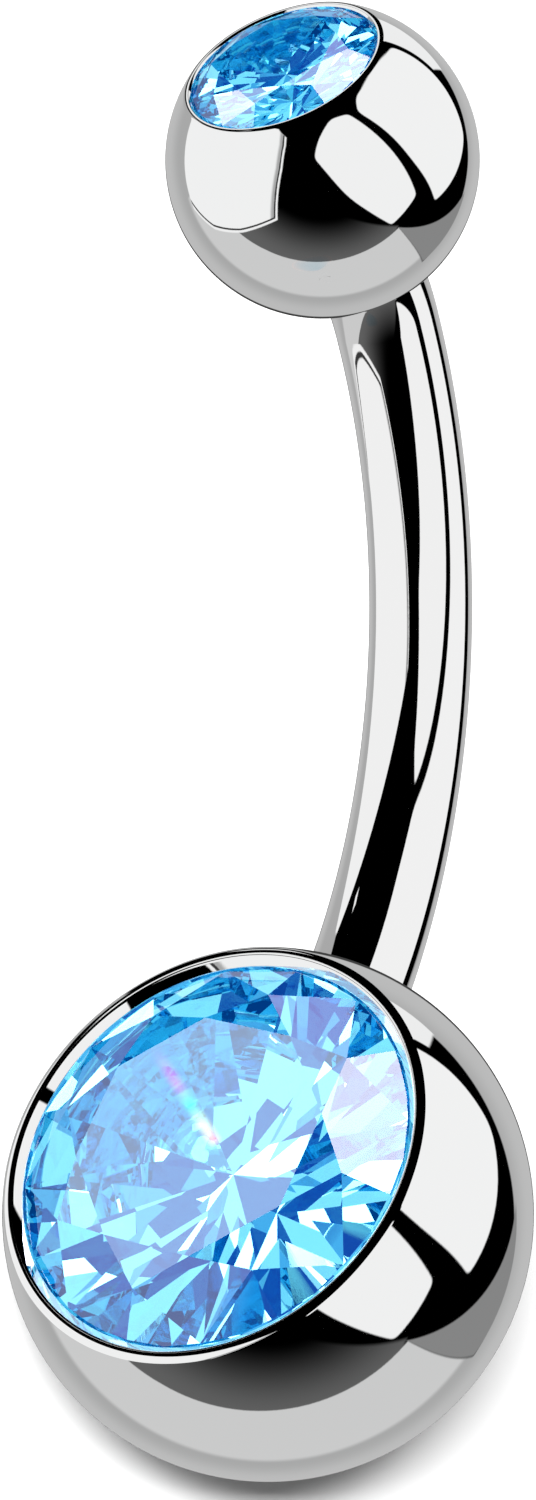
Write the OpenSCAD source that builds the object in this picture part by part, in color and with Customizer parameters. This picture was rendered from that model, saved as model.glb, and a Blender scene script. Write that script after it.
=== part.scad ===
// Navel ring: a curved bar with a jewelled ball at each end, lying as it comes to rest on a flat surface.
// Millimetres, +Z up. The origin is on that surface, below the middle of the part's bounding box,
// and +X runs from the lower ball towards the top ball.

/* [Bar] */
// Thickness of the bar, 14 gauge
bar_d = 1.65; // [1.3:0.05:1.75]
// Radius of the bar's main curve, to the middle of the bar
curve_r = 9.15; // [8.8:0.05:10.5]
// Angle that the main curve turns through
curve_turn = 71.3; // [62:0.1:76]
// Radius of the tighter bend at the top end, to the middle of the bar
end_bend_r = 3; // [2.2:0.1:6]
// Angle that the tighter bend turns through
end_bend_turn = 14; // [5:0.5:18]

/* [Lower ball] */
// Diameter of the lower ball
lower_ball_d = 8; // [7.6:0.1:8.6]
// Outer diameter of the flat rim round the lower stone
lower_rim_d = 6.8; // [6.6:0.05:7.1]
// Width and depth of the bevel inside the lower rim
lower_bevel = 0.12; // [0.03:0.01:0.15]
// Depth of the lower stone's girdle below its rim
lower_sink = 0.12; // [0.05:0.01:0.25]
// Angle between the bar's lower end and the way that the lower stone faces
lower_tilt = 97.6; // [92:0.2:104]
// Diameter of the post that fixes the bar in the lower ball
lower_post_d = 1.4; // [1:0.05:1.5]
// Depth of that post's end below the lower ball's surface
lower_post_in = 1.7; // [1:0.05:1.75]

/* [Top ball] */
// Diameter of the top ball
top_ball_d = 4.8; // [4.6:0.1:5.4]
// Outer diameter of the flat rim round the top stone
top_rim_d = 3.14; // [3.1:0.01:3.4]
// Width and depth of the bevel inside the top rim
top_bevel = 0.03; // [0.01:0.01:0.05]
// Depth of the top stone's girdle below its rim
top_sink = 0.025; // [0.01:0.005:0.1]
// Diameter of the post that the top ball screws onto
top_post_d = 1.3; // [1:0.05:1.45]
// Depth of that post's end below the top ball's surface
top_post_in = 2.1; // [1.4:0.05:2.2]

/* [Stones] */
// Diameter of the lower stone
lower_stone_d = 6.2; // [5.6:0.05:6.25]
// Turn of the lower stone's facets about its own axis
lower_stone_turn = 14.3; // [0:0.1:45]
// Diameter of the top stone
top_stone_d = 2.9; // [2.5:0.02:2.92]
// Turn of the top stone's facets about its own axis
top_stone_turn = 26; // [0:0.5:45]
// Width of the table, corner to corner, as a share of the stone's diameter
table_share = 0.64; // [0.5:0.01:0.7]
// Height of the crown above the girdle, as a share of the diameter
crown_share = 0.09; // [0.07:0.01:0.16]
// Thickness of the girdle, as a share of the diameter
girdle_share = 0.03; // [0.025:0.005:0.04]
// Depth of the pavilion below the girdle, as a share of the diameter
pavilion_share = 0.42; // [0.38:0.01:0.43]
// Reach of the star facets from the table's side towards the girdle, as a share
star_share = 0.5; // [0.35:0.01:0.6]
// Reach of the lower girdle facets from the girdle towards the point, as a share
lower_half_share = 0.77; // [0.6:0.01:0.85]

/* [Fits] */
// Depth that the bar's full thickness goes into each ball
shoulder_in = 0.2; // [0.18:0.01:0.25]
// Clearance round the bar and its posts in the balls, on the radius
fit_gap = 0.02; // [0.01:0.01:0.04]
// Clearance in front of each shoulder and each post's end
end_gap = 0.05; // [0.03:0.01:0.1]
// Clearance between each stone and its cup
stone_gap = 0.03; // [0.02:0.01:0.04]

/* [Hidden] */
$fn = 96;

bar_r = bar_d / 2;
lower_r = lower_ball_d / 2;
top_r = top_ball_d / 2;

// The bar's plane: the main curve's centre is the origin, X is along its chord, Y is the hollow side.
// An angle on the curve is counted from the middle of its belly.
function along(a) = [cos(a), sin(a)];
function outward(a) = [sin(a), -cos(a)];
low_angle = -curve_turn / 2;
bend_angle = curve_turn / 2;
end_angle = bend_angle + end_bend_turn;
low_end = curve_r * outward(low_angle);
bend_start = curve_r * outward(bend_angle);
top_end = bend_start + end_bend_r * (outward(end_angle) - outward(bend_angle));
// The curves go on into the balls as far as the bar's shoulders
function turn_in(r) = shoulder_in / r * 180 / PI;
function recess(r) = shoulder_in + bar_r * sin(turn_in(r)) + end_gap;

// Each ball's centre is one ball radius beyond the end of the bar's curve
lower_centre = low_end - lower_r * along(low_angle);
top_centre = top_end + top_r * along(end_angle);

// Rest pose: both balls and the bar's belly touch the floor, so the bar leans over to one side.
// The floor's upward direction is split into shares along the line of centres, towards the
// hollow side, and square to the bar's plane.
span = norm(top_centre - lower_centre);
to_lower = (lower_centre - top_centre) / span;
to_hollow = [to_lower[1], -to_lower[0]];
line_share = (lower_r - top_r) / span;
drop = line_share * (lower_centre * to_lower) - lower_r + bar_r;
offset_y = lower_centre * to_hollow;
curve_sq = curve_r * curve_r;
offset_sq = offset_y * offset_y;
hollow_share = (drop * offset_y + sqrt(drop * drop * offset_sq
    - (curve_sq - offset_sq) * (curve_sq * line_share * line_share - drop * drop)))
    / (curve_sq - offset_sq);
side_share = sqrt(1 - line_share * line_share - hollow_share * hollow_share);
line_turn = atan2(-to_lower[1], -to_lower[0]);
roll = atan2(hollow_share, side_share);
pitch = asin(line_share);

// Distance of a ball's flat rim from the ball's centre
function rim_height(ball_d, rim_d) = sqrt(ball_d * ball_d - rim_d * rim_d) / 2;
lower_rim_z = rim_height(lower_ball_d, lower_rim_d);
top_rim_z = rim_height(top_ball_d, top_rim_d);
lower_girdle_z = lower_rim_z - lower_sink;
top_girdle_z = top_rim_z - top_sink;

// Reach of the resting part from the lower ball's centre, from which its middle is put above the
// origin. On the hollow side the flat rim cuts the ball short where the stone faces far that way.
reach_x = span * cos(pitch) + top_r;
belly_y = (curve_r + offset_y) * cos(roll) + bar_r;
face_y = sin(low_angle + lower_tilt - line_turn) * cos(roll);
rim_y = lower_rim_z * face_y + lower_rim_d / 2 * sqrt(1 - face_y * face_y);
hollow_y = face_y * lower_r > lower_rim_z ? rim_y : lower_r;
middle_x = (reach_x - lower_r) / 2;
middle_y = (hollow_y - max(lower_r, belly_y)) / 2;

// Stone, all as shares of its diameter: z is 0 at the top of the girdle
STEP = 22.5;
edge_share = 0.5;
table_r = table_share / 2;
table_side_r = table_r * cos(STEP);
star_r = table_side_r + star_share * (edge_share - table_side_r);
tip_r = edge_share * (1 - lower_half_share);
point_z = -girdle_share - pavilion_share;
crown_slope = crown_share / (edge_share - table_r);
pavilion_slope = pavilion_share / edge_share;
star_z = crown_slope * (edge_share - star_r * cos(STEP));
tip_z = point_z + pavilion_slope * tip_r * cos(STEP);
// How far the lower girdle facets' tips stand out of the cone through the girdle and the point
tip_bulge = pavilion_slope * tip_r * (1 - cos(STEP));

function polar(r, a, z) = [r * cos(a), r * sin(a), z];
// Height at x, y of the plane through p, q and s
function plane_z(p, q, s, x, y) =
    let (n = cross(q - p, s - p))
    p[2] - (n[0] * (x - p[0]) + n[1] * (y - p[1])) / n[2];
// Girdle point at angle a, in the plane of the facet whose inner corner is at radius r and height z
function girdle_point(a, r, z, edge_z) =
    let (main = 2 * STEP * round(a / (2 * STEP)),
         side = a < main ? main - STEP : main + STEP,
         g = polar(edge_share, a, 0))
    [g[0], g[1], plane_z(polar(edge_share, main, edge_z), polar(edge_share, side, edge_z), polar(r, side, z),
        g[0], g[1])];

GIRDLE = 32;
MAINS = 8;
TABLE = 1;
STAR = TABLE + MAINS;
TIP = STAR + MAINS;
UPPER = TIP + MAINS;
LOWER = UPPER + GIRDLE;
function wrap(j, n) = (j + n) % n;

module brilliant(stone_d) {
    points = [
        [0, 0, point_z],
        for (k = [0:MAINS - 1]) polar(table_r, 2 * STEP * k, crown_share),
        for (k = [0:MAINS - 1]) polar(star_r, 2 * STEP * k + STEP, star_z),
        for (k = [0:MAINS - 1]) polar(tip_r, 2 * STEP * k + STEP, tip_z),
        for (j = [0:GIRDLE - 1]) girdle_point(360 / GIRDLE * j, star_r, star_z, 0),
        for (j = [0:GIRDLE - 1]) girdle_point(360 / GIRDLE * j, tip_r, tip_z, -girdle_share)
    ];
    faces = [
        [for (k = [MAINS - 1:-1:0]) TABLE + k],
        for (k = [0:MAINS - 1])
            let (next = wrap(k + 1, MAINS), prev = wrap(k - 1, MAINS), g = 4 * k)
            each [
                [TABLE + k, TABLE + next, STAR + k],
                [TABLE + k, STAR + k, UPPER + g, STAR + prev],
                [STAR + k, UPPER + g + 2, UPPER + g + 1, UPPER + g],
                [STAR + k, UPPER + wrap(g + 4, GIRDLE), UPPER + g + 3, UPPER + g + 2],
                [TIP + k, LOWER + g, LOWER + g + 1, LOWER + g + 2],
                [TIP + k, LOWER + g + 2, LOWER + g + 3, LOWER + wrap(g + 4, GIRDLE)],
                [0, TIP + prev, LOWER + g, TIP + k]
            ],
        for (j = [0:GIRDLE - 1])
            let (next = wrap(j + 1, GIRDLE))
            [UPPER + j, UPPER + next, LOWER + next, LOWER + j]
    ];
    scale(stone_d) polyhedron(points = points, faces = faces);
}

// A ball cut flat at its rim and hollowed for its stone, which faces +Z
module cupped_ball(ball_d, stone_d, rim_z, girdle_z, bevel) {
    wall_r = stone_d / 2 + stone_gap;
    seat_z = girdle_z - girdle_share * stone_d - stone_gap;
    floor_z = girdle_z + (point_z - 2 * tip_bulge) * stone_d - stone_gap;
    difference() {
        sphere(d = ball_d);
        translate([-ball_d, -ball_d, rim_z]) cube([2 * ball_d, 2 * ball_d, ball_d]);
        rotate_extrude()
            polygon([[0, floor_z], [wall_r, seat_z], [wall_r, rim_z - bevel], [wall_r + bevel, rim_z],
                [wall_r + bevel, ball_d], [0, ball_d]]);
    }
}

// Places children from the bar's plane to where they lie at rest
module at_rest() {
    translate([-middle_x, -middle_y, lower_r])
        rotate([roll, pitch, 0])
        rotate([0, 0, -line_turn])
        translate([-lower_centre[0], -lower_centre[1], 0])
        children();
}

// Turns children so that their +Z points along the bar's plane at angle a from its X
module facing(a) {
    rotate([0, 0, a]) rotate([0, 90, 0]) children();
}

module at_lower_centre() {
    at_rest() translate([lower_centre[0], lower_centre[1], 0]) children();
}

module at_top_centre() {
    at_rest() translate([top_centre[0], top_centre[1], 0]) facing(end_angle) children();
}

// Round bar from the origin along +X, bent towards +Y to radius r through angle turn
module bend(r, turn) {
    translate([0, r, 0]) rotate([0, 0, -90])
        rotate_extrude(angle = turn) translate([r, 0]) circle(d = bar_d);
}

// Post along +Z, rooted inside the bar and ending at depth reach below a ball's surface
module post(d, reach) {
    translate([0, 0, -shoulder_in]) cylinder(d = d, h = shoulder_in + reach);
}

// Stepped hole for the bar, entering a ball of radius r along +Z
module bar_hole(r, depth, d, reach) {
    translate([0, 0, -2 * r]) cylinder(d = bar_d + 2 * fit_gap, h = r + depth);
    translate([0, 0, -2 * r]) cylinder(d = d + 2 * fit_gap, h = r + reach + end_gap);
}

module bar() {
    color("silver") at_rest() union() {
        translate([bend_start[0], bend_start[1], 0]) rotate([0, 0, bend_angle]) {
            mirror([1, 0, 0]) bend(curve_r, curve_turn + turn_in(curve_r));
            bend(end_bend_r, end_bend_turn + turn_in(end_bend_r));
        }
        translate([low_end[0], low_end[1], 0]) facing(low_angle + 180) post(lower_post_d, lower_post_in);
        translate([top_end[0], top_end[1], 0]) facing(end_angle) post(top_post_d, top_post_in);
    }
}

module lower_ball() {
    color("silver") at_lower_centre() difference() {
        facing(low_angle + lower_tilt)
            cupped_ball(lower_ball_d, lower_stone_d, lower_rim_z, lower_girdle_z, lower_bevel);
        facing(low_angle + 180) bar_hole(lower_r, recess(curve_r), lower_post_d, lower_post_in);
    }
}

module lower_stone() {
    color("deepskyblue") at_lower_centre()
        facing(low_angle + lower_tilt) translate([0, 0, lower_girdle_z])
            rotate([0, 0, lower_stone_turn]) brilliant(lower_stone_d);
}

module top_ball() {
    color("silver") at_top_centre() difference() {
        cupped_ball(top_ball_d, top_stone_d, top_rim_z, top_girdle_z, top_bevel);
        bar_hole(top_r, recess(end_bend_r), top_post_d, top_post_in);
    }
}

module top_stone() {
    color("deepskyblue") at_top_centre() translate([0, 0, top_girdle_z])
        rotate([0, 0, top_stone_turn]) brilliant(top_stone_d);
}

bar();
lower_ball();
lower_stone();
top_ball();
top_stone();
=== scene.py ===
"""Looks of the navel ring: polished steel bar and balls, two cut stones, a white card and soft studio panels.

Everything is in metres in the same frame as the CAD: +Z up, the ring lies on the floor at z = 0.
"""

import math

import bmesh
import bpy
from mathutils import Matrix, Vector


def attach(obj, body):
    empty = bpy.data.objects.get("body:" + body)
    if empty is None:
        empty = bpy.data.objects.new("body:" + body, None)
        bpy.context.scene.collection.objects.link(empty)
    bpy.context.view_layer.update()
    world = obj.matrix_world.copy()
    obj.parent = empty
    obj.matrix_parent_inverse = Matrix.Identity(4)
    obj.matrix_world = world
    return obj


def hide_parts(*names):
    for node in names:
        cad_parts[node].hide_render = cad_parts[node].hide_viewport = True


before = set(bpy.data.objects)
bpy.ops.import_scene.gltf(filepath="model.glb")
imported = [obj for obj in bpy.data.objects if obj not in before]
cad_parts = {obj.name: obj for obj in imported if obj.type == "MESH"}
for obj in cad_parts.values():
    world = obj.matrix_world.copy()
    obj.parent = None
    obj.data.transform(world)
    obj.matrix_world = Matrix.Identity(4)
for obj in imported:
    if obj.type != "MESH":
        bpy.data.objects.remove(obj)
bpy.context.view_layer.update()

MM = 0.001

# Sizes in millimetres and degrees, the same as the part's source
BAR_D, CURVE_R, CURVE_TURN, END_BEND_R, END_BEND_TURN = 1.65, 9.15, 71.3, 3.0, 14.0
LOWER_BALL_D, LOWER_RIM_D, LOWER_BEVEL, LOWER_SINK, LOWER_TILT = 8.0, 6.8, 0.12, 0.12, 97.6
LOWER_POST_D, LOWER_POST_IN, LOWER_STONE_D = 1.4, 1.7, 6.2
TOP_BALL_D, TOP_RIM_D, TOP_BEVEL, TOP_SINK = 4.8, 3.14, 0.03, 0.025
TOP_POST_D, TOP_POST_IN, TOP_STONE_D = 1.3, 2.1, 2.9
GIRDLE_SHARE, PAVILION_SHARE = 0.03, 0.42
SHOULDER_IN, FIT_GAP, END_GAP, STONE_GAP = 0.2, 0.02, 0.05, 0.03

# Fillets that soften the rims, in millimetres: outside, and at the bevel
LOWER_LIP, LOWER_INNER_LIP = 0.16, 0.06
TOP_LIP, TOP_INNER_LIP = 0.1, 0.012
# How far before the rim the ball's round side ends, in degrees, to leave room for the lip
LOWER_LIP_TURN, TOP_LIP_TURN = 1.6, 1.5
# Steps along and around each mesh
LIP_STEPS, LOWER_SIDE_STEPS, TOP_SIDE_STEPS = 12, 84, 80
LOWER_AROUND, TOP_AROUND, BAR_AROUND, HOLE_AROUND = 224, 192, 128, 96
CURVE_STEPS, BEND_STEPS = 140, 36
SHARP_DEGREES = 25
# A face this near the ball's round surface, as a share of its radius, counts as part of it
ON_BALL = 0.001


# Where the parts lie

def along(angle):
    """Way that the bar runs at an angle on its curve, in the bar's own plane."""
    return Vector((math.cos(angle), math.sin(angle), 0))


def outward(angle):
    """Way from the curve's middle out to the bar at that angle."""
    return Vector((math.sin(angle), -math.cos(angle), 0))


def facing(angle):
    """Turns local +Z to the bar plane's direction at that angle."""
    return Matrix.Rotation(angle, 4, "Z") @ Matrix.Rotation(math.pi / 2, 4, "Y")


LOWER_R, TOP_R, BAR_R = LOWER_BALL_D / 2, TOP_BALL_D / 2, BAR_D / 2
LOW_ANGLE = -math.radians(CURVE_TURN) / 2
BEND_ANGLE = math.radians(CURVE_TURN) / 2
END_ANGLE = BEND_ANGLE + math.radians(END_BEND_TURN)
LOW_END = CURVE_R * outward(LOW_ANGLE)
BEND_START = CURVE_R * outward(BEND_ANGLE)
TOP_END = BEND_START + END_BEND_R * (outward(END_ANGLE) - outward(BEND_ANGLE))
LOWER_CENTRE = LOW_END - LOWER_R * along(LOW_ANGLE)
TOP_CENTRE = TOP_END + TOP_R * along(END_ANGLE)


def rim_height(ball_d, rim_d):
    """How far the flat rim lies from the ball's middle."""
    return math.sqrt(ball_d * ball_d - rim_d * rim_d) / 2


def rest_matrix():
    """Places the bar's plane where it rests on both balls and the bar's belly, in millimetres."""
    span = (TOP_CENTRE - LOWER_CENTRE).length
    to_lower = (LOWER_CENTRE - TOP_CENTRE) / span
    to_hollow = Vector((to_lower.y, -to_lower.x, 0))
    line_share = (LOWER_R - TOP_R) / span
    drop = line_share * LOWER_CENTRE.dot(to_lower) - LOWER_R + BAR_R
    offset = LOWER_CENTRE.dot(to_hollow)
    square = CURVE_R ** 2 - offset ** 2
    root = math.sqrt((drop * offset) ** 2 - square * (CURVE_R ** 2 * line_share ** 2 - drop ** 2))
    hollow_share = (drop * offset + root) / square
    side_share = math.sqrt(1 - line_share ** 2 - hollow_share ** 2)
    line_turn = math.atan2(-to_lower.y, -to_lower.x)
    roll, pitch = math.atan2(hollow_share, side_share), math.asin(line_share)
    belly = (CURVE_R + offset) * math.cos(roll) + BAR_R
    face = math.sin(LOW_ANGLE + math.radians(LOWER_TILT) - line_turn) * math.cos(roll)
    rim_z = rim_height(LOWER_BALL_D, LOWER_RIM_D)
    hollow = rim_z * face + LOWER_RIM_D / 2 * math.sqrt(1 - face ** 2)
    middle_x = (span * math.cos(pitch) + TOP_R - LOWER_R) / 2
    middle_y = (hollow - max(LOWER_R, belly)) / 2
    return (Matrix.Translation((-middle_x, -middle_y, LOWER_R)) @ Matrix.Rotation(pitch, 4, "Y")
            @ Matrix.Rotation(roll, 4, "X") @ Matrix.Rotation(-line_turn, 4, "Z")
            @ Matrix.Translation(-LOWER_CENTRE))


TO_METRES = Matrix.Scale(MM, 4)
AT_REST = TO_METRES @ rest_matrix()
AT_LOWER = AT_REST @ Matrix.Translation(LOWER_CENTRE)
AT_TOP = AT_REST @ Matrix.Translation(TOP_CENTRE)


# Meshes

def arc(radius, start, end, count):
    """Points (r, z) on an arc about the origin, angles in degrees counted from +r towards +z."""
    points = []
    for i in range(count + 1):
        a = math.radians(start + (end - start) * i / count)
        points.append((radius * math.cos(a), radius * math.sin(a)))
    return points


def rounded(before, corner, after, radius):
    """The fillet of that radius that replaces a corner of a profile."""
    p, q, s = Vector(before), Vector(corner), Vector(after)
    u, v = (p - q).normalized(), (s - q).normalized()
    half = math.acos(max(-1, min(1, u.dot(v)))) / 2
    reach = radius / math.tan(half)
    middle = q + (u + v).normalized() * (radius / math.sin(half))
    start, end = q + u * reach - middle, q + v * reach - middle
    turn = start.angle_signed(end)
    points = []
    for i in range(LIP_STEPS + 1):
        a = -turn * i / LIP_STEPS
        cosine, sine = math.cos(a), math.sin(a)
        points.append((middle.x + start.x * cosine - start.y * sine,
                       middle.y + start.x * sine + start.y * cosine))
    return points


def lathe(bm, profile, segments):
    """Turns a profile of (r, z), from one point on the axis to another, into a closed solid."""
    rings = []
    for r, z in profile:
        if r < 1e-6:
            rings.append([bm.verts.new((0, 0, z))])
        else:
            rings.append([bm.verts.new((r * math.cos(2 * math.pi * k / segments),
                                        r * math.sin(2 * math.pi * k / segments), z))
                          for k in range(segments)])
    join_rings(bm, rings)


def join_rings(bm, rings):
    """Joins rings of points in turn by faces; a ring of one point closes an end."""
    for low, high in zip(rings, rings[1:]):
        count = max(len(low), len(high))
        for k in range(count):
            n = (k + 1) % count
            if len(low) == 1:
                bm.faces.new((low[0], high[n], high[k]))
            elif len(high) == 1:
                bm.faces.new((low[k], low[n], high[0]))
            else:
                bm.faces.new((low[k], low[n], high[n], high[k]))


def piece_from(name, bm):
    """Makes the object, shaded smooth with creases where faces meet at more than that angle."""
    bmesh.ops.recalc_face_normals(bm, faces=bm.faces)
    mesh = bpy.data.meshes.new(name)
    bm.to_mesh(mesh)
    bm.free()
    mesh.polygons.foreach_set("use_smooth", [True] * len(mesh.polygons))
    mesh.set_sharp_from_angle(angle=math.radians(SHARP_DEGREES))
    piece = bpy.data.objects.new(name, mesh)
    bpy.context.scene.collection.objects.link(piece)
    return piece


def turn_in(radius):
    """Angle of the shoulder's run into a ball, in radians."""
    return SHOULDER_IN / radius


def recess(radius):
    """Depth of the ball's wide hole, which takes in the whole shoulder."""
    return SHOULDER_IN + BAR_R * math.sin(turn_in(radius)) + END_GAP


def cup_profile(stone_d, rim_z, sink, bevel, rim_d, lip, inner_lip):
    """From the ball's surface over its softly rounded rim and down into the stone's cup."""
    # The outer fillet comes in along the ball's tangent at the rim
    drop = 0.3
    ball_side = (rim_d / 2 + drop * rim_z / (rim_d / 2), rim_z - drop)
    wall = stone_d / 2 + STONE_GAP
    girdle_z = rim_z - sink
    seat_z = girdle_z - GIRDLE_SHARE * stone_d - STONE_GAP
    below_point = 0.02
    floor_z = girdle_z - (GIRDLE_SHARE + PAVILION_SHARE + below_point) * stone_d - STONE_GAP
    rim, bevel_top, bevel_low = (rim_d / 2, rim_z), (wall + bevel, rim_z), (wall, rim_z - bevel)
    points = rounded(ball_side, rim, bevel_top, lip)
    points += rounded(rim, bevel_top, bevel_low, inner_lip)
    points += rounded(bevel_top, bevel_low, (wall, seat_z), inner_lip / 2)
    points += [(wall, seat_z), (wall / 2, (seat_z + floor_z) / 2), (0, floor_z)]
    return points


def lower_ball():
    """Polished ball with its cup, and the hole that the bar's fixed end sits in."""
    rim_z = rim_height(LOWER_BALL_D, LOWER_RIM_D)
    rim_angle = math.degrees(math.atan2(rim_z, LOWER_RIM_D / 2))
    bm = bmesh.new()
    profile = [(0, -LOWER_R)] + arc(LOWER_R, -88, rim_angle - LOWER_LIP_TURN, LOWER_SIDE_STEPS)
    profile += cup_profile(LOWER_STONE_D, rim_z, LOWER_SINK, LOWER_BEVEL, LOWER_RIM_D,
                           LOWER_LIP, LOWER_INNER_LIP)
    lathe(bm, profile, LOWER_AROUND)
    bm.transform(AT_LOWER @ facing(LOW_ANGLE + math.radians(LOWER_TILT)))
    ball = piece_from("polished_lower_ball", bm)

    drill_bm = bmesh.new()
    deep, wide = recess(CURVE_R), BAR_R + FIT_GAP
    narrow, end = LOWER_POST_D / 2 + FIT_GAP, LOWER_POST_IN + END_GAP
    outside = -LOWER_R - 1
    lathe(drill_bm, [(0, outside), (wide, outside), (wide, -LOWER_R + deep),
                     (narrow, -LOWER_R + deep), (narrow, -LOWER_R + end), (0, -LOWER_R + end)], HOLE_AROUND)
    drill_bm.transform(AT_LOWER @ facing(LOW_ANGLE + math.pi))
    drill = piece_from("drill", drill_bm)
    cut = ball.modifiers.new("bar_hole", "BOOLEAN")
    cut.operation, cut.solver, cut.object = "DIFFERENCE", "EXACT", drill
    bpy.context.view_layer.update()
    cut_mesh = bpy.data.meshes.new_from_object(ball.evaluated_get(bpy.context.evaluated_depsgraph_get()))
    ball.modifiers.clear()
    ball.data = cut_mesh
    bpy.data.objects.remove(drill)
    round_normals(ball, AT_LOWER @ Vector((0, 0, 0)), LOWER_R * MM)
    return ball


def round_normals(piece, centre, radius):
    """Gives every face on the ball's own surface the true sphere's normals, so its mirror image is clean."""
    mesh = piece.data
    mesh.polygons.foreach_set("use_smooth", [True] * len(mesh.polygons))
    mesh.set_sharp_from_angle(angle=math.radians(SHARP_DEGREES))
    normals = [Vector(c.vector) for c in mesh.corner_normals]
    for face in mesh.polygons:
        if abs((face.center - centre).length - radius) < ON_BALL * radius:
            for loop in face.loop_indices:
                point = mesh.vertices[mesh.loops[loop].vertex_index].co
                normals[loop] = (point - centre).normalized()
    mesh.normals_split_custom_set(normals)


def top_ball():
    """Polished screw ball with its cup and the stepped hole that the bar's post goes into."""
    rim_z = rim_height(TOP_BALL_D, TOP_RIM_D)
    rim_angle = math.degrees(math.atan2(rim_z, TOP_RIM_D / 2))
    wide, narrow = BAR_R + FIT_GAP, TOP_POST_D / 2 + FIT_GAP
    step_z = -TOP_R + recess(END_BEND_R)
    end_z = -TOP_R + TOP_POST_IN + END_GAP
    mouth = math.degrees(math.asin(wide / TOP_R)) - 90
    profile = [(0, end_z), (narrow, end_z), (narrow, step_z), (wide, step_z)]
    profile += arc(TOP_R, mouth, rim_angle - TOP_LIP_TURN, TOP_SIDE_STEPS)
    profile += cup_profile(TOP_STONE_D, rim_z, TOP_SINK, TOP_BEVEL, TOP_RIM_D, TOP_LIP, TOP_INNER_LIP)
    bm = bmesh.new()
    lathe(bm, profile, TOP_AROUND)
    bm.transform(AT_TOP @ facing(END_ANGLE))
    return piece_from("polished_top_ball", bm)


def bar():
    """Round bar swept along its main curve and its tighter top bend, with a post at each end."""
    stations = []

    def station(centre, angle, radius):
        """A ring of that radius round the bar's line, square to its run."""
        stations.append((centre, angle, radius))

    low_in, top_in = turn_in(CURVE_R), turn_in(END_BEND_R)
    low_out = LOW_END - LOWER_POST_IN * along(LOW_ANGLE)
    station(low_out, LOW_ANGLE, 0)
    station(low_out, LOW_ANGLE, LOWER_POST_D / 2)
    start = LOW_ANGLE - low_in
    shoulder = CURVE_R * outward(start)
    station(LOW_END - (LOW_END - shoulder).dot(along(LOW_ANGLE)) * along(LOW_ANGLE), start, LOWER_POST_D / 2)
    for i in range(CURVE_STEPS + 1):
        a = start + (BEND_ANGLE - start) * i / CURVE_STEPS
        station(CURVE_R * outward(a), a, BAR_R)
    last = END_ANGLE + top_in
    for i in range(1, BEND_STEPS + 1):
        a = BEND_ANGLE + (last - BEND_ANGLE) * i / BEND_STEPS
        station(BEND_START + END_BEND_R * (outward(a) - outward(BEND_ANGLE)), a, BAR_R)
    shoulder = stations[-1][0]
    station(TOP_END + (shoulder - TOP_END).dot(along(END_ANGLE)) * along(END_ANGLE), last, TOP_POST_D / 2)
    top_out = TOP_END + TOP_POST_IN * along(END_ANGLE)
    station(top_out, END_ANGLE, TOP_POST_D / 2)
    station(top_out, END_ANGLE, 0)

    bm = bmesh.new()
    rings = []
    for centre, angle, radius in stations:
        if radius == 0:
            rings.append([bm.verts.new(centre)])
            continue
        side = outward(angle)
        rings.append([bm.verts.new(centre + radius * (math.cos(t) * side + math.sin(t) * Vector((0, 0, 1))))
                      for t in (2 * math.pi * k / BAR_AROUND for k in range(BAR_AROUND))])
    join_rings(bm, rings)
    bm.transform(AT_REST)
    return piece_from("polished_bar", bm)


# Materials

# Past this length in metres, a mirrored ray no longer sees a piece
NEAR_MIRROR = 0.0012
# What far mirror rays keep as they pass the stones: it makes up for the body colour that they cross
FAR_TINT = (1.06, 1.01, 1.0)
# The haze's clouds, and the buffing marks, which are drawn out along the ring's length
HAZE_SCALE, HAZE_DETAIL = 900.0, 3.0
MARKS_SCALE, MARKS_DETAIL, MARKS_BREAKUP, MARKS_STRETCH = 1500.0, 4.0, 0.7, (1.0, 9.0, 9.0)
MARKS_BUMP, MARKS_BUMP_DEPTH = 0.02, 0.00001
STONE_INDEX, ZONE_SCALE, ZONE_DETAIL = 2.15, 500.0, 2.0
# Painted glow: strength and colour of the blue light that the stones give off themselves
PAINTED_STONE_GLOW, PAINTED_STONE_GLOW_COLOUR = 0.014, (0.0, 0.3, 1.0)


def node_of(tree, kind, **values):
    """A node with the given settings and input values; an underscore in a name stands for a space."""
    node = tree.nodes.new(kind)
    for key, value in values.items():
        if hasattr(node, key):
            setattr(node, key, value)
        else:
            node.inputs[key.replace("_", " ")].default_value = value
    return node


def math_node(tree, operation, first, second=None):
    """The result of one sum, whose terms are numbers or sockets."""
    node = tree.nodes.new("ShaderNodeMath")
    node.operation = operation
    for slot, value in enumerate((first, second)):
        if value is None:
            continue
        if isinstance(value, (int, float)):
            node.inputs[slot].default_value = value
        else:
            tree.links.new(value, node.inputs[slot])
    return node.outputs["Value"]


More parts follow.
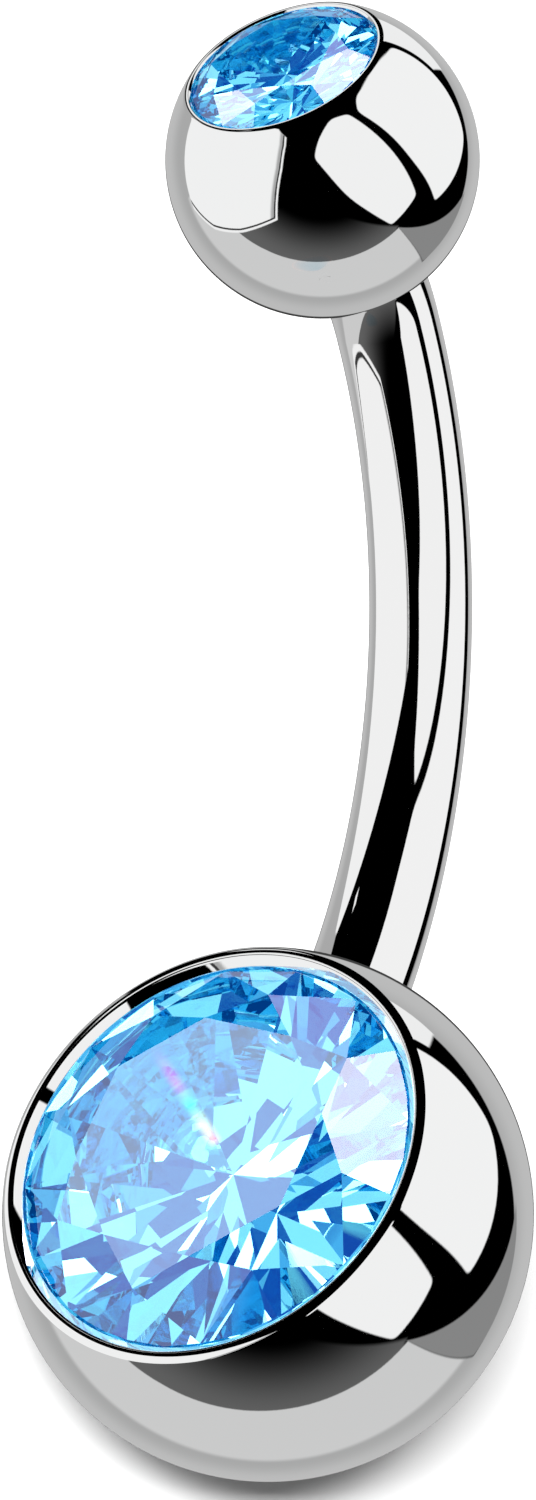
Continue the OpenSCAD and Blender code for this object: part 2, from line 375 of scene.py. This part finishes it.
def polish_group():
    """What a buffed metal surface keeps: hairline buffing marks and a faint haze, both barely there."""
    group = bpy.data.node_groups.new("buffed_polish", "ShaderNodeTree")
    face = group.interface
    for name, value in (("Haze", 0.0), ("Haze change", 0.0), ("Marks scale", 0.0), ("Marks depth", 0.0)):
        socket = face.new_socket(name, in_out="INPUT", socket_type="NodeSocketFloat")
        socket.default_value = value
    face.new_socket("Roughness", in_out="OUTPUT", socket_type="NodeSocketFloat")
    face.new_socket("Height", in_out="OUTPUT", socket_type="NodeSocketFloat")
    start, end = group.nodes.new("NodeGroupInput"), group.nodes.new("NodeGroupOutput")
    place = group.nodes.new("ShaderNodeTexCoord")
    cloud = node_of(group, "ShaderNodeTexNoise", Scale=HAZE_SCALE, Detail=HAZE_DETAIL)
    stretch = group.nodes.new("ShaderNodeMapping")
    stretch.inputs["Scale"].default_value = MARKS_STRETCH
    marks = node_of(group, "ShaderNodeTexNoise", Detail=MARKS_DETAIL, Roughness=MARKS_BREAKUP)
    spread = node_of(group, "ShaderNodeMath", operation="MULTIPLY_ADD")
    depth = node_of(group, "ShaderNodeMath", operation="MULTIPLY")
    link = group.links.new
    link(place.outputs["Object"], cloud.inputs["Vector"])
    link(place.outputs["Object"], stretch.inputs["Vector"])
    link(stretch.outputs["Vector"], marks.inputs["Vector"])
    link(start.outputs["Marks scale"], marks.inputs["Scale"])
    link(cloud.outputs["Fac"], spread.inputs[0])
    link(start.outputs["Haze change"], spread.inputs[1])
    link(start.outputs["Haze"], spread.inputs[2])
    link(marks.outputs["Fac"], depth.inputs[0])
    link(start.outputs["Marks depth"], depth.inputs[1])
    link(spread.outputs["Value"], end.inputs["Roughness"])
    link(depth.outputs["Value"], end.inputs["Height"])
    return group


def steel(name, colour, polish, haze, marks):
    """Surgical steel, polished to a mirror."""
    material = bpy.data.materials.new(name)
    material.use_nodes = True
    tree = material.node_tree
    shader = tree.nodes["Principled BSDF"]
    shader.inputs["Base Color"].default_value = (*colour, 1)
    shader.inputs["Metallic"].default_value = 1.0
    buffed = node_of(tree, "ShaderNodeGroup", node_tree=polish)
    buffed.inputs["Haze"].default_value = haze
    buffed.inputs["Haze change"].default_value = haze
    buffed.inputs["Marks scale"].default_value = MARKS_SCALE
    buffed.inputs["Marks depth"].default_value = marks
    bump = node_of(tree, "ShaderNodeBump", Strength=MARKS_BUMP, Distance=MARKS_BUMP_DEPTH)
    tree.links.new(buffed.outputs["Roughness"], shader.inputs["Roughness"])
    tree.links.new(buffed.outputs["Height"], bump.inputs["Height"])
    tree.links.new(bump.outputs["Normal"], shader.inputs["Normal"])
    unseen_from_afar(material)
    return material


def zoning_group():
    """The faint zones of paler and deeper colour that a grown crystal has."""
    group = bpy.data.node_groups.new("crystal_zoning", "ShaderNodeTree")
    face = group.interface
    for name in ("Pale", "Deep"):
        face.new_socket(name, in_out="INPUT", socket_type="NodeSocketColor")
    face.new_socket("Zone scale", in_out="INPUT", socket_type="NodeSocketFloat")
    face.new_socket("Colour", in_out="OUTPUT", socket_type="NodeSocketColor")
    start, end = group.nodes.new("NodeGroupInput"), group.nodes.new("NodeGroupOutput")
    place = group.nodes.new("ShaderNodeTexCoord")
    zones = node_of(group, "ShaderNodeTexNoise", Detail=ZONE_DETAIL)
    group.links.new(place.outputs["Object"], zones.inputs["Vector"])
    group.links.new(start.outputs["Zone scale"], zones.inputs["Scale"])
    colour = lay_over(group, start.outputs["Pale"], zones.outputs["Fac"], start.outputs["Deep"])
    group.links.new(colour, end.inputs["Colour"])
    return group


def gem(name, pale, deep, zoning, absorb, density):
    """Clear cut stone: sharp refraction, and a body colour that deepens with the light's way through it."""
    material = bpy.data.materials.new(name)
    material.use_nodes = True
    tree = material.node_tree
    shader = tree.nodes["Principled BSDF"]
    zoned = node_of(tree, "ShaderNodeGroup", node_tree=zoning)
    zoned.inputs["Pale"].default_value = (*pale, 1)
    zoned.inputs["Deep"].default_value = (*deep, 1)
    zoned.inputs["Zone scale"].default_value = ZONE_SCALE
    tree.links.new(zoned.outputs["Colour"], shader.inputs["Base Color"])
    shader.inputs["Metallic"].default_value = 0.0
    shader.inputs["Roughness"].default_value = 0.0
    shader.inputs["IOR"].default_value = STONE_INDEX
    shader.inputs["Transmission Weight"].default_value = 1.0
    # Painted glow: the stone gives off a trace of blue light of its own at each facet, so that the darkest
    # facets stay blue
    shader.inputs["Emission Color"].default_value = (*PAINTED_STONE_GLOW_COLOUR, 1)
    shader.inputs["Emission Strength"].default_value = PAINTED_STONE_GLOW
    body = node_of(tree, "ShaderNodeVolumeAbsorption", Density=density)
    body.inputs["Color"].default_value = (*absorb, 1)
    tree.links.new(body.outputs["Volume"], tree.nodes["Material Output"].inputs["Volume"])
    unseen_from_afar(material, inner_too=True)
    return material


def unseen_from_afar(material, inner_too=False):
    """Keeps a piece out of the mirror images on the other pieces, except right beside it."""
    tree = material.node_tree
    shader, out = tree.nodes["Principled BSDF"], tree.nodes["Material Output"]
    light = tree.nodes.new("ShaderNodeLightPath")
    far = math_node(tree, "GREATER_THAN", light.outputs["Ray Length"], NEAR_MIRROR)
    if inner_too:
        side = tree.nodes.new("ShaderNodeNewGeometry")
        outer = math_node(tree, "SUBTRACT", 1.0, side.outputs["Backfacing"])
        far = math_node(tree, "MULTIPLY", far, outer)
        passed = math_node(tree, "GREATER_THAN", light.outputs["Transparent Depth"], 0.5)
        far = math_node(tree, "MAXIMUM", far, passed)
    mask = math_node(tree, "MULTIPLY", far, light.outputs["Is Glossy Ray"])
    gone = tree.nodes.new("ShaderNodeBsdfTransparent")
    if inner_too:
        gone.inputs["Color"].default_value = (*FAR_TINT, 1)
    mix = tree.nodes.new("ShaderNodeMixShader")
    tree.links.new(mask, mix.inputs["Fac"])
    tree.links.new(shader.outputs["BSDF"], mix.inputs[1])
    tree.links.new(gone.outputs["BSDF"], mix.inputs[2])
    tree.links.new(mix.outputs["Shader"], out.inputs["Surface"])


def dress(piece, material):
    """Gives a piece that material alone."""
    piece.data.materials.clear()
    piece.data.materials.append(material)
    return piece


# Camera

# Where the camera stands, its picture's right and up, and the way back to it
EYE = Vector((2.2445, 28.7840, 59.2532)) * MM
RIGHT = Vector((0.0968010, -0.8904212, 0.4447242))
UP = Vector((0.9945162, 0.0687598, -0.0788017))
BACK = Vector((0.0395876, 0.4499135, 0.8921943))
LENS, SENSOR = 99.59, 36.0
CLIP_START, CLIP_END = 0.001, 100.0


def make_camera():
    """The photo's camera, found from the balls, the bar and the rims in the picture."""
    data = bpy.data.cameras.new("camera")
    data.lens, data.sensor_width, data.sensor_fit = LENS, SENSOR, "AUTO"
    data.clip_start, data.clip_end = CLIP_START, CLIP_END
    camera = bpy.data.objects.new("camera", data)
    turn = Matrix((RIGHT, UP, BACK)).transposed().to_4x4()
    camera.matrix_world = Matrix.Translation(EYE) @ turn
    bpy.context.scene.collection.objects.link(camera)
    bpy.context.scene.camera = camera


# Studio

def toward(polar, turn):
    """Direction in the room, given as the photographer sees it: polar degrees away from the way back to
    the camera, and turn degrees anticlockwise from the picture's right."""
    p, t = math.radians(polar), math.radians(turn)
    way = RIGHT * math.sin(p) * math.cos(t) + UP * math.sin(p) * math.sin(t) + BACK * math.cos(p)
    return way.normalized()


def share_along(tree, direction, axis):
    """The cosine between a direction and a fixed axis."""
    node = tree.nodes.new("ShaderNodeVectorMath")
    node.operation = "DOT_PRODUCT"
    node.inputs[1].default_value = axis
    tree.links.new(direction, node.inputs[0])
    return node.outputs["Value"]


def reach_inside(tree, direction, corners, sides=None, rounding=0.0):
    """How far, as a sine, the direction lies inside a convex patch of the room with those corners.
    Only the named sides count, if some are named."""
    ways = [toward(*c) for c in corners]
    middle = sum(ways, Vector()).normalized()
    nearest = None
    for side, (first, second) in enumerate(zip(ways, ways[1:] + ways[:1])):
        if sides is not None and side not in sides:
            continue
        edge = first.cross(second).normalized()
        if edge.dot(middle) < 0:
            edge = -edge
        past_edge = share_along(tree, direction, edge)
        if nearest is None:
            nearest = past_edge
        else:
            nearest = math_node(tree, "SMOOTH_MIN", nearest, past_edge)
            nearest.node.inputs[2].default_value = rounding
    return nearest


def soft_step(tree, value, low, high):
    """Rises smoothly from 0 at low to 1 at high."""
    node = tree.nodes.new("ShaderNodeMapRange")
    node.interpolation_type = "SMOOTHSTEP"
    node.inputs["From Min"].default_value, node.inputs["From Max"].default_value = low, high
    tree.links.new(value, node.inputs["Value"])
    return node.outputs["Result"]


def lay_over(tree, below, mask, above):
    """Colour above where the mask is 1, colour below where it is 0."""
    node = tree.nodes.new("ShaderNodeMix")
    node.data_type = "RGBA"
    tree.links.new(mask, node.inputs["Factor"])
    for slot, value in (("A_Color", below), ("B_Color", above)):
        socket = next(s for s in node.inputs if s.identifier == slot)
        if isinstance(value, tuple):
            socket.default_value = (*value, 1)
        else:
            tree.links.new(value, socket)
    return next(s for s in node.outputs if s.identifier == "Result_Color")


def grey(level):
    """Neutral colour of that brightness."""
    return (level, level, level)


# The room's patches, each by its corners as (polar, turn) in degrees
WINDOW_A = ((79.6, 338.6), (77.3, 315.8), (38, 298), (9, 225), (6, 150), (12, 97), (22, 77), (31, 56))
WINDOW_B = ((104, 59.5), (121, 36), (126.5, 16.5), (94, 337), (67, 357), (45, 13), (37, 32), (37.5, 50),
            (45, 59))
WINDOW_C = ((28, 161.5), (27.3, 172.5), (33, 204), (62, 235), (90, 222), (111, 210), (122.5, 196), (115, 152),
            (107, 138), (103, 135.5))
SIDE_STRIP = ((105, 66), (108, 55), (120, 43), (134, 43), (136, 72))
LEFT_BACK = ((102, 130), (107, 150), (112, 180), (116, 202), (126, 216), (152, 215), (152, 130))
PALE_SWEEP = ((93, 220), (88, 246), (84.5, 290), (83.4, 318), (150, 322), (160, 195), (122, 190))
DARK_SWEEP = ((50, 235), (100, 205), (104, 260), (100, 300), (82, 318), (52, 290))
WEDGE = ((83.4, 318), (131.5, 320.5), (134.5, 356))
# Mirrored by the flat rims alone
LOWER_RIM_CARD = ((79.5, 127.8), (82.8, 127.8), (82.8, 131.7), (79.5, 131.7))
TOP_RIM_CARD = ((106, 106), (115, 106), (115, 117), (106, 117))
# Mirrored by the stones' crowns alone
VEIL = ((64, 100), (94, 100), (94, 156), (64, 156))
SPARK = ((46, 64), (92, 64), (92, 98), (46, 98))
UPPER_SPARK = ((94, 86), (109, 86), (109, 106), (94, 106))
LEFT_SPARK = ((83.5, 137), (93.5, 137), (93.5, 149), (83.5, 149))

# How bright the panels and the back are
WINDOW_WHITE, WINDOW_B_WHITE, CARD_WHITE = 0.93, 0.94, 0.9
BACK_GREY, FAR_BACK_GREY, FLOOR_SPOT_GREY = 0.42, 0.52, 0.05
SWEEP_PALE, SWEEP_DARK, WEDGE_GREY, REVEAL_GREY, LINE_GREY = 0.63, 0.12, 0.25, 0.42, 0.04
VEIL_COLOUR, SPARK_COLOUR, UPPER_SPARK_COLOUR = (2.0, 2.4, 2.5), (5.0, 4.9, 5.4), (1.5, 1.4, 1.8)
LEFT_SPARK_COLOUR = (5.0, 5.0, 5.4)
# The polar angles over which the back and its greys fade in, the dark sweep brightens and the pale one ends
BACK_FADE, FAR_BACK_FADE, FLOOR_SPOT_FADE = (131.5, 133), (128, 152), (166, 169)
DARK_SWEEP_FADE, PALE_SWEEP_END = (50, 88), (122.5, 127.5)
# Half widths of the patches' soft edges, as sines
PANEL_EDGE, SWEEP_EDGE, CARD_EDGE = 0.008, 0.02, 0.004
# Rounding of the corners, the dark frame round window B and the frame of window C, all as sines
WINDOW_ROUNDING, WINDOW_B_FRAME = 0.06, 0.075
REVEAL_FROM, REVEAL_TO, LINE_AT, LINE_HALF, LINE_CORE = 0.1, 0.06, 0.033, 0.013, 0.006
RIM_LINE_FROM, RIM_LINE_TO = 0.024, 0.018
REVEAL_SIDES, LINE_SIDES = (0, 1, 2), (0, 1, 2, 3, 4, 5)
# What lights the card and what the camera sees behind it
ROOM_FOR_CARD, BEHIND_CARD = 0.1, 1.0

# The rainbow streak on the lower stone: its ends as (polar, turn), its half width as a sine, its colours
PRISM_ENDS = ((81.62, 131.36), (79.92, 131.5))
PRISM_HALF_WIDTH = 0.0024
PRISM_COLOURS = ((0.0, (3.2, 2.0, 4.2)), (0.4, (4.6, 1.7, 5.4)), (0.6, (1.0, 6.0, 5.2)),
                 (0.8, (7.5, 7.5, 2.8)), (0.95, (7.5, 2.6, 2.0)))
PRISM_FADE_IN, PRISM_FADE_OUT = 0.35, 0.93

# The crystal panes: their scale and place, and the share of panes up to each colour
PANES_SCALE, PANES_AT = 6.0, (0.9, 2.3, 1.1)
PANE_COLOURS = ((0.34, (0.0, 0.035, 0.42)), (0.6, (0.26, 0.6, 0.95)), (0.87, (1.1, 1.4, 1.45)),
                (1.1, (6.0, 6.0, 6.0)))
# Rays that have met this many facets see the panes give way to one even colour
EVEN_FROM, EVEN_TO, EVEN_COLOUR = 4.5, 8.0, (0.45, 0.95, 1.0)


def make_studio():
    """The room round the ring, as the steel, the stones' crowns and insides, and the card each see it."""
    world = bpy.data.worlds.new("studio")
    bpy.context.scene.world = world
    world.use_nodes = True
    tree = world.node_tree
    tree.nodes.clear()
    place = tree.nodes.new("ShaderNodeTexCoord")
    way = place.outputs["Generated"]

    def inside(corners, soft=PANEL_EDGE, grow=0.0, rounding=0.0):
        """1 inside a patch, which may be grown by a sine, and 0 outside it."""
        return soft_step(tree, reach_inside(tree, way, corners, rounding=rounding), -soft - grow, soft - grow)

    facing_back = share_along(tree, way, BACK)

    def beyond(start, end):
        """Rises from 0 to 1 between two polar angles."""
        return soft_step(tree, facing_back, math.cos(math.radians(start)), math.cos(math.radians(end)))

    back_grey = lay_over(tree, grey(BACK_GREY), beyond(*FAR_BACK_FADE), grey(FAR_BACK_GREY))
    back_grey = lay_over(tree, back_grey, beyond(*FLOOR_SPOT_FADE), grey(FLOOR_SPOT_GREY))
    room = lay_over(tree, grey(0.0), beyond(*BACK_FADE), back_grey)
    room = lay_over(tree, room, inside(LEFT_BACK), back_grey)
    # The dark sweep brightens towards its lower edge
    dark = lay_over(tree, grey(0.0), beyond(*DARK_SWEEP_FADE), grey(SWEEP_DARK))
    room = lay_over(tree, room, inside(DARK_SWEEP, soft=SWEEP_EDGE), dark)
    pale = lay_over(tree, grey(SWEEP_PALE), beyond(*PALE_SWEEP_END), back_grey)
    room = lay_over(tree, room, inside(PALE_SWEEP), pale)
    room = lay_over(tree, room, inside(WEDGE), grey(WEDGE_GREY))
    room = lay_over(tree, room, inside(SIDE_STRIP), grey(CARD_WHITE))
    in_window = inside(WINDOW_C)
    room = lay_over(tree, room, in_window, grey(WINDOW_WHITE))
    # The frame of that window: a grey reveal on its near side, then a dark line, then a white edge
    reveal = soft_step(tree, reach_inside(tree, way, WINDOW_C, sides=REVEAL_SIDES), REVEAL_FROM, REVEAL_TO)
    room = lay_over(tree, room, math_node(tree, "MULTIPLY", reveal, in_window), grey(REVEAL_GREY))
    line = reach_inside(tree, way, WINDOW_C, sides=LINE_SIDES)
    off_line = math_node(tree, "ABSOLUTE", math_node(tree, "SUBTRACT", line, LINE_AT))
    on_line = soft_step(tree, off_line, LINE_HALF, LINE_CORE)
    room = lay_over(tree, room, math_node(tree, "MULTIPLY", on_line, in_window), grey(LINE_GREY))
    rim_line = soft_step(tree, line, RIM_LINE_FROM, RIM_LINE_TO)
    room = lay_over(tree, room, math_node(tree, "MULTIPLY", rim_line, in_window), grey(WINDOW_WHITE))
    room = lay_over(tree, room, inside(WINDOW_A, rounding=WINDOW_ROUNDING), grey(WINDOW_WHITE))
    room = lay_over(tree, room, inside(WINDOW_B, grow=WINDOW_B_FRAME, rounding=WINDOW_ROUNDING), grey(0.0))
    room = lay_over(tree, room, inside(WINDOW_B, rounding=WINDOW_ROUNDING), grey(WINDOW_B_WHITE))

    light = tree.nodes.new("ShaderNodeLightPath")
    crown = room
    for panel, colour in ((VEIL, VEIL_COLOUR), (SPARK, SPARK_COLOUR), (UPPER_SPARK, UPPER_SPARK_COLOUR),
                          (LEFT_SPARK, LEFT_SPARK_COLOUR)):
        crown = lay_over(tree, crown, inside(panel), colour)
    for card in (LOWER_RIM_CARD, TOP_RIM_CARD):
        room = lay_over(tree, room, inside(card, soft=CARD_EDGE), grey(CARD_WHITE))
    crown = lay_over(tree, crown, *prism(tree, way))
    room = lay_over(tree, room, light.outputs["Is Singular Ray"], crown)
    crossed = math_node(tree, "GREATER_THAN", light.outputs["Transmission Depth"], 0.5)
    room = lay_over(tree, room, crossed, gem_room(tree, way))
    room = lay_over(tree, room, light.outputs["Is Diffuse Ray"], grey(ROOM_FOR_CARD))
    room = lay_over(tree, room, light.outputs["Is Camera Ray"], grey(BEHIND_CARD))
    glow = tree.nodes.new("ShaderNodeBackground")
    tree.links.new(room, glow.inputs["Color"])
    out = tree.nodes.new("ShaderNodeOutputWorld")
    tree.links.new(glow.outputs["Background"], out.inputs["Surface"])
    world.cycles.sampling_method = "NONE"


def prism(tree, way):
    """A short streak of rainbow colours, mirrored by the lower stone's table: its mask and its colours."""
    start, end = (toward(*place) for place in PRISM_ENDS)
    across = start.cross(end).normalized()
    run = (end - start).normalized()
    off, far = share_along(tree, way, across), share_along(tree, way, run)
    share = tree.nodes.new("ShaderNodeMapRange")
    share.inputs["From Min"].default_value = start.dot(run)
    share.inputs["From Max"].default_value = end.dot(run)
    tree.links.new(far, share.inputs["Value"])
    ramp = tree.nodes.new("ShaderNodeValToRGB")
    while len(ramp.color_ramp.elements) < len(PRISM_COLOURS):
        ramp.color_ramp.elements.new(0.5)
    for stop, (at, colour) in zip(ramp.color_ramp.elements, PRISM_COLOURS):
        stop.position, stop.color = at, (*colour, 1)
    tree.links.new(share.outputs["Result"], ramp.inputs["Fac"])
    near = soft_step(tree, math_node(tree, "ABSOLUTE", off), PRISM_HALF_WIDTH, 0.0)
    ends = math_node(tree, "MULTIPLY", soft_step(tree, share.outputs["Result"], 0.0, PRISM_FADE_IN),
                     soft_step(tree, share.outputs["Result"], 1.0, PRISM_FADE_OUT))
    return math_node(tree, "MULTIPLY", near, ends), ramp.outputs["Color"]


def gem_room(tree, way):
    """What the stones gather: a room of crystal panes, from deep blue to lamp-bright."""
    shift = tree.nodes.new("ShaderNodeVectorMath")
    shift.operation = "ADD"
    shift.inputs[1].default_value = PANES_AT
    tree.links.new(way, shift.inputs[0])
    panes = tree.nodes.new("ShaderNodeTexVoronoi")
    panes.inputs["Scale"].default_value = PANES_SCALE
    tree.links.new(shift.outputs["Vector"], panes.inputs["Vector"])
    pick = tree.nodes.new("ShaderNodeSeparateColor")
    tree.links.new(panes.outputs["Color"], pick.inputs["Color"])
    colour = PANE_COLOURS[-1][1]
    for limit, level in reversed(PANE_COLOURS[:-1]):
        below = math_node(tree, "LESS_THAN", pick.outputs["Red"], limit)
        colour = lay_over(tree, colour, below, level)
    # Light that has crossed the stone many times comes out even
    light = tree.nodes.new("ShaderNodeLightPath")
    even = soft_step(tree, light.outputs["Ray Depth"], EVEN_FROM, EVEN_TO)
    return lay_over(tree, colour, even, EVEN_COLOUR)


# The lamp's length, width and distance in metres, its power in watts, and how far up it is moved
LAMP_LENGTH, LAMP_WIDTH, LAMP_AWAY, LAMP_POWER, LAMP_UP = 0.16, 0.06, 0.6, 5.8, 0.24
CARD_HALF, CARD_GREY, CARD_ROUGHNESS = 0.3, 0.92, 0.9


def make_key_light():
    """Long soft box just above the camera: its light leaves a soft shadow below the large ball alone."""
    data = bpy.data.lights.new("key_light", "AREA")
    data.shape, data.size, data.size_y, data.energy = "RECTANGLE", LAMP_LENGTH, LAMP_WIDTH, LAMP_POWER
    lamp = bpy.data.objects.new("key_light", data)
    away = BACK + LAMP_UP * UP
    turn = Matrix((RIGHT, away.cross(RIGHT).normalized(), away.normalized())).transposed().to_4x4()
    lamp.matrix_world = Matrix.Translation(away.normalized() * LAMP_AWAY) @ turn
    lamp.visible_glossy = False
    lamp.visible_transmission = False
    bpy.context.scene.collection.objects.link(lamp)


def make_floor():
    """Plain white card that the ring lies on."""
    bm = bmesh.new()
    bmesh.ops.create_grid(bm, x_segments=2, y_segments=2, size=CARD_HALF)
    mesh = bpy.data.meshes.new("floor")
    bm.to_mesh(mesh)
    bm.free()
    floor = bpy.data.objects.new("floor", mesh)
    bpy.context.scene.collection.objects.link(floor)
    material = bpy.data.materials.new("white_card")
    material.use_nodes = True
    shader = material.node_tree.nodes["Principled BSDF"]
    shader.inputs["Base Color"].default_value = (*grey(CARD_GREY), 1)
    shader.inputs["Roughness"].default_value = CARD_ROUGHNESS
    shader.inputs["Specular IOR Level"].default_value = 0.0
    floor.data.materials.append(material)
    floor.visible_glossy = False
    floor.visible_transmission = False


# The ring

make_camera()
make_studio()
make_key_light()
make_floor()

polish = polish_group()
ball_steel = steel("mirror_polished_ball_steel", (0.93, 0.935, 0.935), polish, haze=0.012, marks=0.4)
bar_steel = steel("mirror_polished_bar_steel", (0.93, 0.93, 0.93), polish, haze=0.015, marks=0.5)
zoning = zoning_group()
# The small stone's colour deepens faster, so that it looks as blue as the large one
lower_blue = gem("aqua_lower_stone", pale=(0.52, 0.9, 0.99), deep=(0.42, 0.86, 0.98), zoning=zoning,
                 absorb=(0.0, 0.72, 0.98), density=80.0)
top_blue = gem("aqua_top_stone", pale=(0.5, 0.89, 0.98), deep=(0.38, 0.84, 0.96), zoning=zoning,
               absorb=(0.0, 0.72, 0.97), density=190.0)

for piece, node, body, slot, finish in (
        (bar(), "bar", "barbell", "bar_steel", bar_steel),
        (lower_ball(), "lower_ball", "barbell", "ball_steel", ball_steel),
        (top_ball(), "top_ball", "screw_ball", "ball_steel", ball_steel)):
    dress(piece, finish)
    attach(piece, body)
    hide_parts(node)

dress(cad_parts["lower_stone"], lower_blue)
dress(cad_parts["top_stone"], top_blue)
# Only the large ball shadows the card, as in the photo
for name in ("polished_bar", "polished_top_ball"):
    bpy.data.objects[name].visible_shadow = False
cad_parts["top_stone"].visible_shadow = False

bpy.context.scene.view_settings.view_transform = "Standard"
# Light bounces often enough to find its way out of the stones
ALL_BOUNCES, STONE_BOUNCES, MIRROR_BOUNCES = 40, 32, 16
cycles = bpy.context.scene.cycles
cycles.max_bounces = ALL_BOUNCES
cycles.transmission_bounces, cycles.glossy_bounces = STONE_BOUNCES, MIRROR_BOUNCES
